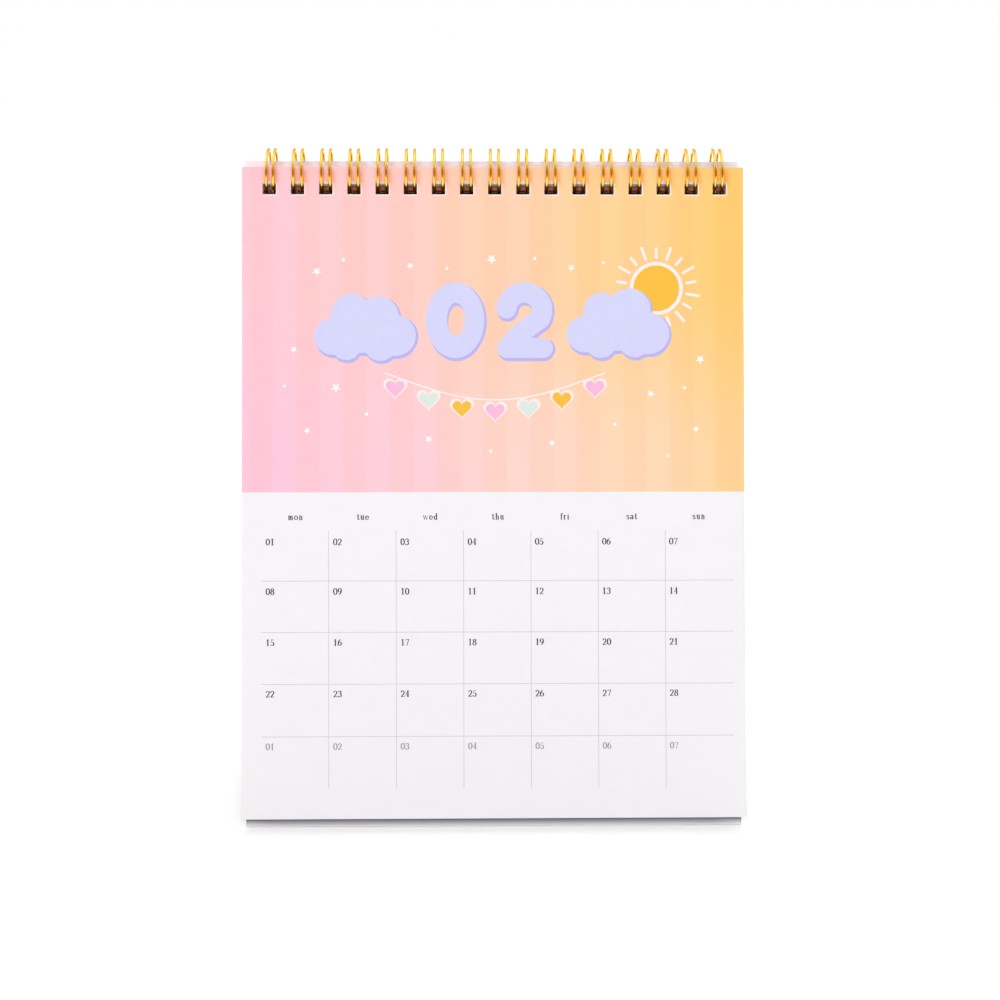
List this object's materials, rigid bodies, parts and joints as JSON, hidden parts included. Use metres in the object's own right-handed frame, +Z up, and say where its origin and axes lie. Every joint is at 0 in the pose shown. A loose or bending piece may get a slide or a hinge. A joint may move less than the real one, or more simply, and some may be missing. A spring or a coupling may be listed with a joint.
{
  "type": "desk calendar",
  "caption": "Easel desk calendar: punched month leaves on a twin-loop wire, carried by a folding cardboard stand with a base flap.",
  "frame": {"origin": "centre of the bounding box at the desk surface", "axes": "+Z up, the calendar faces -Y, +X to the reader's right"},
  "size_m": [0.1512, 0.0948, 0.1988],
  "materials": {
    "gold_wire": "bright gold lacquered wire",
    "grey_board": "matt grey-brown board",
    "leaf_card": "silk-coated printed card"
  },
  "bodies": {
    "stand_front": {"stand_front_board": "grey_board", "wire_binding": "gold_wire"},
    "later_leaves": {"march_leaf": "leaf_card", "april_leaf": "leaf_card", "may_leaf": "leaf_card", "june_leaf": "leaf_card", "july_leaf": "leaf_card", "august_leaf": "leaf_card", "september_leaf": "leaf_card", "october_leaf": "leaf_card", "november_leaf": "leaf_card", "december_leaf": "leaf_card"},
    "february": {"february_leaf": "leaf_card"},
    "stand_back": {"stand_back_board": "grey_board"},
    "cover": {"cover_leaf": "leaf_card"},
    "january": {"january_leaf": "leaf_card"},
    "base_flap": {"stand_base_flap": "grey_board"}
  },
  "joints": [
    {"name": "later_leaves_flip", "type": "hinge", "parent": "stand_front", "child": "later_leaves", "pos_m": [0, 0.00446, 0.19172], "axis": [1, 0, 0], "range_deg": [-100, 0]},
    {"name": "february_flip", "type": "hinge", "parent": "later_leaves", "child": "february", "pos_m": [0, 0.00446, 0.19172], "axis": [-1, 0, 0], "range_deg": [0, 130]},
    {"name": "stand_fold", "type": "hinge", "parent": "stand_front", "child": "stand_back", "pos_m": [0, 0.00446, 0.19172], "axis": [-1, 0, 0], "range_deg": [0, 25]},
    {"name": "cover_lift", "type": "hinge", "parent": "stand_back", "child": "cover", "pos_m": [0, 0.00446, 0.19172], "axis": [-1, 0, 0], "range_deg": [-25, 0]},
    {"name": "january_lift", "type": "hinge", "parent": "cover", "child": "january", "pos_m": [0, 0.00446, 0.19172], "axis": [1, 0, 0], "range_deg": [0, 30]},
    {"name": "base_flap_swing", "type": "hinge", "parent": "stand_front", "child": "base_flap", "pos_m": [0, -0.04324, 0], "axis": [-1, 0, 0], "range_deg": [0, 104.5]}
  ],
  "couplings": [
    {"joint": "base_flap_swing", "follows": "stand_fold", "ratio": 4.16}
  ]
}
